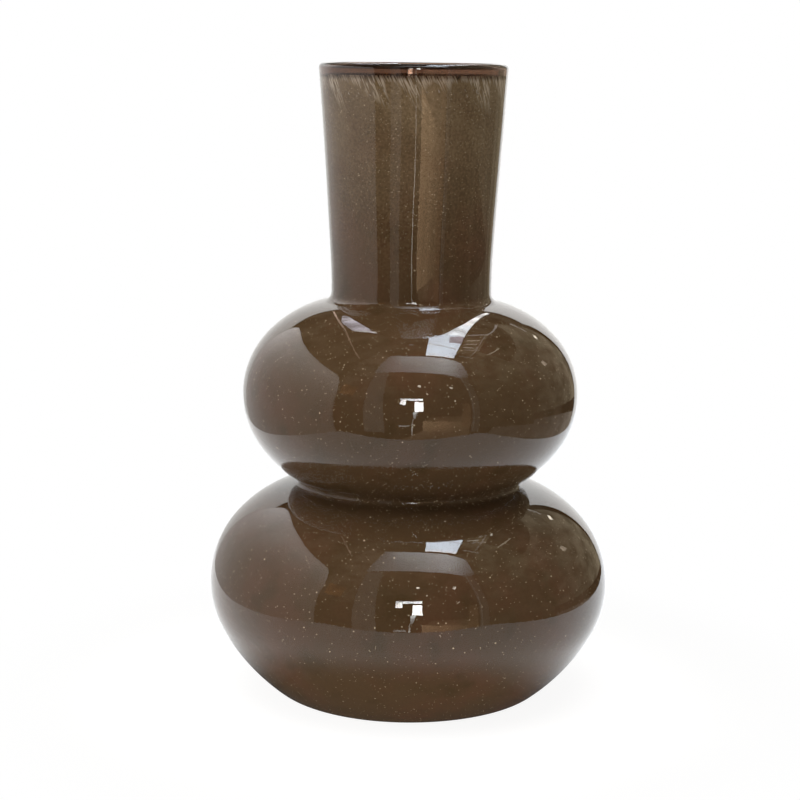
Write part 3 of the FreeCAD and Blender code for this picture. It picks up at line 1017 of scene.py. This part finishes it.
def build_room(studio):
    """The dim room: a large sphere, all but black, a little lighter and warmer overhead."""
    azimuth, elevation = np.meshgrid(
        np.linspace(-180, 180, ROOM_POINTS[1]), np.linspace(-89, 89, ROOM_POINTS[0]))
    places = in_direction(azimuth, elevation, ROOM_RADIUS)
    strength = np.interp(elevation, *ROOM_LIGHT) * studio.room
    glowing("dim_room", places, strength[..., None] * np.array(ROOM_COLOUR), ROOM_MOTTLE, mirrored_light())


def seen_as_background(tree):
    """1 for what the camera, gloss and glass see, and 0 for light on dull surfaces."""
    path = add(tree, "ShaderNodeLightPath").outputs
    mirrored = maths(tree, "MAXIMUM", path["Is Glossy Ray"], path["Is Transmission Ray"])
    return maths(tree, "MAXIMUM", path["Is Camera Ray"], mirrored)


def build_world(studio):
    """Even light for dull surfaces, and plain white for what the camera, gloss and glass see."""
    world = bpy.data.worlds.new("studio")
    bpy.context.scene.world = world
    world.use_nodes = True
    tree = world.node_tree
    tree.nodes.clear()
    even = add(tree, "ShaderNodeBackground", {"Color": SKY, "Strength": studio.sky})
    white = add(tree, "ShaderNodeBackground", {"Color": WHITE, "Strength": studio.white})
    shares = {0: seen_as_background(tree), 1: even.outputs[0], 2: white.outputs[0]}
    mixed = add(tree, "ShaderNodeMixShader", shares)
    add(tree, "ShaderNodeOutputWorld", {"Surface": mixed.outputs[0]})


def build_floor(studio):
    """A pale floor with the vase's shadow. It is white to camera, gloss and glass, but for the shadow."""
    half = studio.floor_width / 2
    mesh = bpy.data.meshes.new("floor")
    corners = [(-half, -half, 0), (half, -half, 0), (half, half, 0), (-half, half, 0)]
    mesh.from_pydata(corners, [], [(0, 1, 2, 3)])
    material, tree = new_material("pale_floor")
    away = add(tree, "ShaderNodeVectorMath", {0: object_place(tree)}, operation="LENGTH").outputs["Value"]
    plain = principled(tree, {
        "Base Color": PALE, "Roughness": 0.9, "Specular IOR Level": 0.0,
        "Emission Color": blended(tree, ranged(tree, away, *BOUNCE_RANGE), WHITE, BLACK),
        "Emission Strength": studio.bounce})
    white = add(tree, "ShaderNodeEmission", {"Color": WHITE, "Strength": studio.white})
    lit = ranged(tree, away, SHADOW_START, studio.shadow_reach, SHADOW_WHITE, 1.0)
    part = maths(tree, "MULTIPLY", seen_as_background(tree), lit)
    mixed = add(tree, "ShaderNodeMixShader", {0: part, 1: plain.outputs[0], 2: white.outputs[0]})
    floor = shown("floor", mesh, [finished(material, mixed)])
    floor.visible_glossy = False


def build_lamp(name, place, aim, width, power, colour):
    """A large soft lamp that points at the vase and isn't seen in the glass."""
    light = bpy.data.lights.new(name, "AREA")
    light.shape = "DISK"
    light.size = width
    light.energy = power
    light.color = colour
    made = placed(name, light)
    made.location = place
    made.rotation_euler = (Vector(place) - Vector(aim)).to_track_quat("Z", "Y").to_euler()
    made.visible_glossy = False
    made.visible_transmission = False
    made.visible_camera = False


def build_camera(studio):
    """The camera at the photograph's angle: turned down from level and rolled about its own axis."""
    data = bpy.data.cameras.new("camera")
    data.lens = studio.lens
    data.sensor_width = SENSOR_WIDTH
    made = placed("camera", data)
    made.location = studio.camera_place
    pitch = Matrix.Rotation(RIGHT_ANGLE - studio.camera_pitch, 3, "X")
    made.rotation_euler = (pitch @ Matrix.Rotation(studio.camera_roll, 3, "Z")).to_euler()
    bpy.context.scene.camera = made


class VASE_OT_studio(bpy.types.Operator):
    """Adds the camera, the pale floor, the light and what the glass mirrors"""

    bl_idname = "gourd_vase.studio"
    bl_label = "Studio"

    def execute(self, context):
        studio = context.scene.vase_studio
        build_camera(studio)
        build_world(studio)
        build_floor(studio)
        build_room(studio)
        material = mirrored_light()
        build_cards(material)
        build_sweep(material)
        build_panel(material)
        build_table(material)
        build_lamp("overhead", place=(-0.1, -0.2, 1.5), aim=(0, 0, 0.1), width=1.4, power=studio.key,
                   colour=(1.0, 0.98, 0.95))
        build_lamp("side", place=(-1.0, -0.5, 0.7), aim=(0, 0, 0.14), width=0.8, power=studio.fill,
                   colour=(1.0, 0.97, 0.93))
        context.scene.view_settings.view_transform = "Standard"
        return {"FINISHED"}


class VASE_OT_clear_casing(bpy.types.Operator):
    """Adds the clear casing: foot, lobes, neck and the outer half of the lip"""

    bl_idname = "gourd_vase.clear_casing"
    bl_label = "Clear casing"

    def execute(self, context):
        shape, look = context.scene.vase_shape, context.scene.vase_glass
        hollow_radius = shape.foot_radius - shape.foot_ring_width
        fall = math.atan2(shape.foot_hollow_depth, hollow_radius)
        hollow = [Station(np.array([0.0, shape.foot_hollow_depth]), 0),
                  Station(np.array([hollow_radius, 0.0]), -2 * fall)]
        outer = [Station(hollow[1].place, 0)] + skin(shape, 0, 0)[1:]
        lip_radius = shape.casing_thickness + shape.colour_thickness
        rim = lip(shape, lip_radius, RIGHT_ANGLE, math.pi)
        outside = followed(outer + rim, shape.row_length, FINE_ARC)
        inside = sunk(shape, casing_skin(shape, shape.seam_sink))
        under = followed(hollow, UNDER_STEP * shape.row_length)[:-1]
        section = np.vstack([under, outside, seam_below(shape, outside[-1])[1:], inside])
        mesh = turned("casing_glass", section, shape, len(under) + len(outside))
        glass = glass_material("clear_glass", look.casing, look.ior, band_height(shape), look.lip)
        dressed("casing_glass", mesh, [glass, fused_material()], "clear_glass", "clear_casing")
        return {"FINISHED"}


class VASE_OT_colour_layer(bpy.types.Operator):
    """Adds the layer of powdered colour, with a square edge under the bare band"""

    bl_idname = "gourd_vase.colour_layer"
    bl_label = "Colour layer"

    def execute(self, context):
        shape, look = context.scene.vase_shape, context.scene.vase_glass
        outside = followed(casing_skin(shape), shape.row_length)
        inside = followed(colour_skin(shape), UNDER_STEP * shape.row_length, HIDDEN_ARC)[::-1]
        mesh = turned("powder_colour", np.vstack([outside, inside]), shape)
        dressed("powder_colour", mesh, [powder_material(shape, look)], "taupe_colour", "colour_layer")
        return {"FINISHED"}


class VASE_OT_inner_glass(bpy.types.Operator):
    """Adds the tinted glass inside, with the floor and the inner half of the lip"""

    bl_idname = "gourd_vase.inner_glass"
    bl_label = "Inner glass"

    def execute(self, context):
        shape, look = context.scene.vase_shape, context.scene.vase_glass
        cavity = cavity_skin(shape)
        rim = lip(shape, -shape.inner_thickness, RIGHT_ANGLE, 0)
        within = followed(cavity + rim, shape.row_length, SMOOTH_ARC)
        seam = seam_below(shape, within[-1])
        outside = sunk(shape, colour_skin(shape, shape.seam_sink))
        section = np.vstack([within, seam[1:], outside])[::-1]
        hidden_rows = len(seam) - 1 + len(outside)
        mesh = turned("tinted_glass", section, shape)
        slots = np.zeros(len(mesh.polygons), np.int32)
        slots[:(hidden_rows - 1) * shape.sides] = 1
        slots[(len(section) - 3) * shape.sides:(len(section) - 2) * shape.sides] = 1
        mesh.polygons.foreach_set("material_index", slots)
        glass = glass_material("tinted_glass", look.inner, look.ior)
        dressed("tinted_glass", mesh, [glass, fused_material()], "tinted_glass", "inner_glass")
        return {"FINISHED"}


class VASE_OT_gold_flakes(bpy.types.Operator):
    """Adds flakes of gold leaf in the casing, densest at the neck"""

    bl_idname = "gourd_vase.gold_flakes"
    bl_label = "Gold flakes"

    def execute(self, context):
        shape, look = context.scene.vase_shape, context.scene.vase_glass
        neck_foot, band = neck_foot_height(shape), band_height(shape)
        heights = [0, neck_foot, neck_foot + FLAKE_NECK_RISE, band - FLAKE_BAND_DROP, band]

        def density(height):
            """Flakes lie thinly in the lobes and thickest under the band."""
            return np.interp(height, heights, FLAKE_DENSITY)

        random, places, outward, side, up = strewn(shape, look.flakes, FLAKE_SEED, density, *FLAKE_DEPTHS)
        tilt = random.normal(0, FLAKE_TILT, (look.flakes, 2))
        facing = unit(outward + side * tilt[:, :1] + up * tilt[:, 1:])
        across = unit(np.cross(up, facing))
        size = random.lognormal(math.log(FLAKE_RADIUS), FLAKE_SPREAD, look.flakes)[:, None]
        size *= np.where(places[:, 2:] < neck_foot, LOBE_FLAKE, 1.0)
        form, faces = flake_form()
        mesh = copied("gold_flakes", form, faces, places, across * size,
                      np.cross(facing, across) * size * FLAKE_NARROW, facing * size * FLAKE_THICKNESS)
        dressed("gold_flakes", mesh, [gold_material(look)], "taupe_colour")
        return {"FINISHED"}


class VASE_OT_seed_bubbles(bpy.types.Operator):
    """Adds the small bubbles in the casing, drawn out along the pull near the mouth"""

    bl_idname = "gourd_vase.seed_bubbles"
    bl_label = "Seed bubbles"

    def execute(self, context):
        shape, look = context.scene.vase_shape, context.scene.vase_glass
        line = band_height(shape) - BUBBLE_LINE_DROP

        def density(height):
            """Bubbles lie thinly in the vase and thickly on the line under the band."""
            return BUBBLE_DENSITY + BUBBLE_LINE_DENSITY * np.exp(-((height - line) / BUBBLE_LINE_WIDTH) ** 2)

        random, places, outward, side, up = strewn(shape, look.bubbles, BUBBLE_SEED, density, *BUBBLE_DEPTHS)
        near_mouth = np.exp(-((places[:, 2] - line) / PULL_WIDTH) ** 2)[:, None]
        along = unit(up - side * (PULL_LEAN * near_mouth))
        beside = np.cross(along, outward)
        size = random.lognormal(math.log(BUBBLE_RADIUS), BUBBLE_SPREAD, look.bubbles)[:, None]
        stretch = 1 + near_mouth * random.uniform(*PULL_STRETCH, look.bubbles)[:, None]
        form, faces = bead_form()
        mesh = copied("seed_bubbles", form, faces, places, beside * size, outward * size,
                      -along * size * stretch)
        dressed("seed_bubbles", mesh, [bubble_material(look)], "clear_glass")
        return {"FINISHED"}


class VASE_PT_panel(bpy.types.Panel):
    """Lists the steps that build the vase"""

    bl_idname = "VASE_PT_panel"
    bl_label = "Gourd Vase"
    bl_space_type = "VIEW_3D"
    bl_region_type = "UI"
    bl_category = "Gourd Vase"

    def draw(self, context):
        for operator in OPERATORS:
            self.layout.operator(operator.bl_idname)
        for settings in (context.scene.vase_shape, context.scene.vase_glass, context.scene.vase_studio):
            box = self.layout.box()
            for name in settings.bl_rna.properties.keys():
                if name not in ("rna_type", "name"):
                    box.prop(settings, name)


OPERATORS = (VASE_OT_studio, VASE_OT_clear_casing, VASE_OT_colour_layer, VASE_OT_inner_glass,
             VASE_OT_gold_flakes, VASE_OT_seed_bubbles)
SETTINGS = {"vase_shape": VaseShape, "vase_glass": VaseGlass, "vase_studio": VaseStudio}


def register():
    for made in (*SETTINGS.values(), *OPERATORS, VASE_PT_panel):
        bpy.utils.register_class(made)
    for name, settings in SETTINGS.items():
        setattr(bpy.types.Scene, name, PointerProperty(type=settings))


def unregister():
    for name in SETTINGS:
        delattr(bpy.types.Scene, name)
    for made in (VASE_PT_panel, *reversed(OPERATORS), *reversed(SETTINGS.values())):
        bpy.utils.unregister_class(made)


def main():
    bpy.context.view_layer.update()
    register()
    for operator in OPERATORS:
        area, name = operator.bl_idname.split(".")
        getattr(getattr(bpy.ops, area), name)()
    bpy.context.view_layer.update()


if __name__ == "__main__":
    main()
